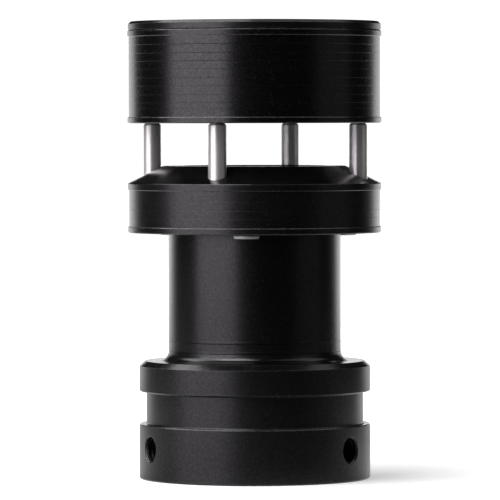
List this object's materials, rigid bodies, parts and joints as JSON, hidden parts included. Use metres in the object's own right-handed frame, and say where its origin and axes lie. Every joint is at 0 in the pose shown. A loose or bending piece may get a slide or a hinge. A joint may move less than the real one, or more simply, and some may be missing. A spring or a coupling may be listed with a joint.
{
  "type": "laser collimator",
  "caption": "Laser collimator with a stepped 2-inch nose, an open target-viewing gap on steel rods, and a battery drum closed by a screwed cap with a push button.",
  "frame": {"origin": "centre of the nose's end face, on the optical axis, with the piece standing on its nose", "axes": "+Z along the optical axis from the nose to the end cap; -Y faces the picture's viewer"},
  "size_m": [0.056, 0.0558, 0.1004],
  "materials": {
    "black_anodised": "bead-blasted, black anodised, satin",
    "bright_aluminium": "fine turned, clear anodised",
    "stainless": "ground dowel rod",
    "screw_steel": "bright stainless",
    "black_oxide_steel": "black oxide",
    "pad_plastic": "natural nylon",
    "target_white": "matt white with printed rings",
    "brass": "turned",
    "contact_brass": "plated spring sheet",
    "nickel": "nickel plated",
    "circuit_board": "solder mask",
    "lead_insulation": "insulated lead",
    "black_plastic": "moulded",
    "seal_rubber": "O-ring rubber",
    "lens_glass": "coated glass"
  },
  "bodies": {
    "barrel": {"barrel": "black_anodised", "viewing_base": "black_anodised", "base_screws": "screw_steel", "spacer_rod_1": "stainless", "spacer_rod_2": "stainless", "spacer_rod_3": "stainless", "spacer_rod_4": "stainless", "drum": "black_anodised", "target_plate": "target_white", "module_body": "brass", "collimating_lens": "lens_glass", "lens_ring": "brass", "laser_diode": "nickel", "driver_board": "circuit_board", "driver_leads": "lead_insulation", "module_holder": "black_anodised", "tilt_ring": "seal_rubber", "tilt_screws": "screw_steel", "battery_cassette": "black_plastic", "button_cells": "nickel", "lower_contacts": "contact_brass", "upper_contacts": "contact_brass", "contact_ring": "contact_brass"},
    "seal": {"cap_seal": "seal_rubber"},
    "cap": {"end_cap": "black_anodised", "switch_board": "circuit_board", "board_ring": "black_anodised", "contact_fingers": "contact_brass", "tact_switch": "black_plastic"},
    "button": {"push_button": "bright_aluminium", "switch_plunger": "black_plastic"},
    "pad_1": {"clamp_pad_1": "pad_plastic"},
    "clamp_1": {"clamp_screw_1": "black_oxide_steel"},
    "pad_2": {"clamp_pad_2": "pad_plastic"},
    "clamp_2": {"clamp_screw_2": "black_oxide_steel"},
    "pad_3": {"clamp_pad_3": "pad_plastic"},
    "clamp_3": {"clamp_screw_3": "black_oxide_steel"}
  },
  "joints": [
    {"name": "cap_lift", "type": "slide", "parent": "barrel", "child": "seal", "axis": [0, 0, 1], "range_m": [0, 0.003]},
    {"name": "cap_turn", "type": "hinge", "parent": "seal", "child": "cap", "pos_m": [0, 0, 0.09838], "axis": [0, 0, 1], "range_deg": [0, 1080]},
    {"name": "button_press", "type": "slide", "parent": "cap", "child": "button", "axis": [0, 0, -1], "range_m": [0, 0.0007], "stiffness_N_per_m": 1500, "springref_m": -0.0008},
    {"name": "clamp_1_travel", "type": "slide", "parent": "barrel", "child": "pad_1", "axis": [-0.9033, -0.4289, 0], "range_m": [-0.0009, 0.0029]},
    {"name": "clamp_1_turn", "type": "hinge", "parent": "pad_1", "child": "clamp_1", "pos_m": [-0.01771, -0.00841, 0.0069], "axis": [-0.9033, -0.4289, 0], "range_deg": [-324, 1044]},
    {"name": "clamp_2_travel", "type": "slide", "parent": "barrel", "child": "pad_2", "axis": [0.8231, -0.5678, 0], "range_m": [-0.0009, 0.0029]},
    {"name": "clamp_2_turn", "type": "hinge", "parent": "pad_2", "child": "clamp_2", "pos_m": [0.01613, -0.01113, 0.0069], "axis": [0.8231, -0.5678, 0], "range_deg": [-324, 1044]},
    {"name": "clamp_3_travel", "type": "slide", "parent": "barrel", "child": "pad_3", "axis": [0.0802, 0.9968, 0], "range_m": [-0.0009, 0.0029]},
    {"name": "clamp_3_turn", "type": "hinge", "parent": "pad_3", "child": "clamp_3", "pos_m": [0.00157, 0.01954, 0.0069], "axis": [0.0802, 0.9968, 0], "range_deg": [-324, 1044]}
  ],
  "couplings": [
    {"joint": "cap_turn", "follows": "cap_lift", "rad_per_m": 6283.2},
    {"joint": "clamp_1_turn", "follows": "clamp_1_travel", "rad_per_m": 6283.2},
    {"joint": "clamp_2_turn", "follows": "clamp_2_travel", "rad_per_m": 6283.2},
    {"joint": "clamp_3_turn", "follows": "clamp_3_travel", "rad_per_m": 6283.2}
  ]
}
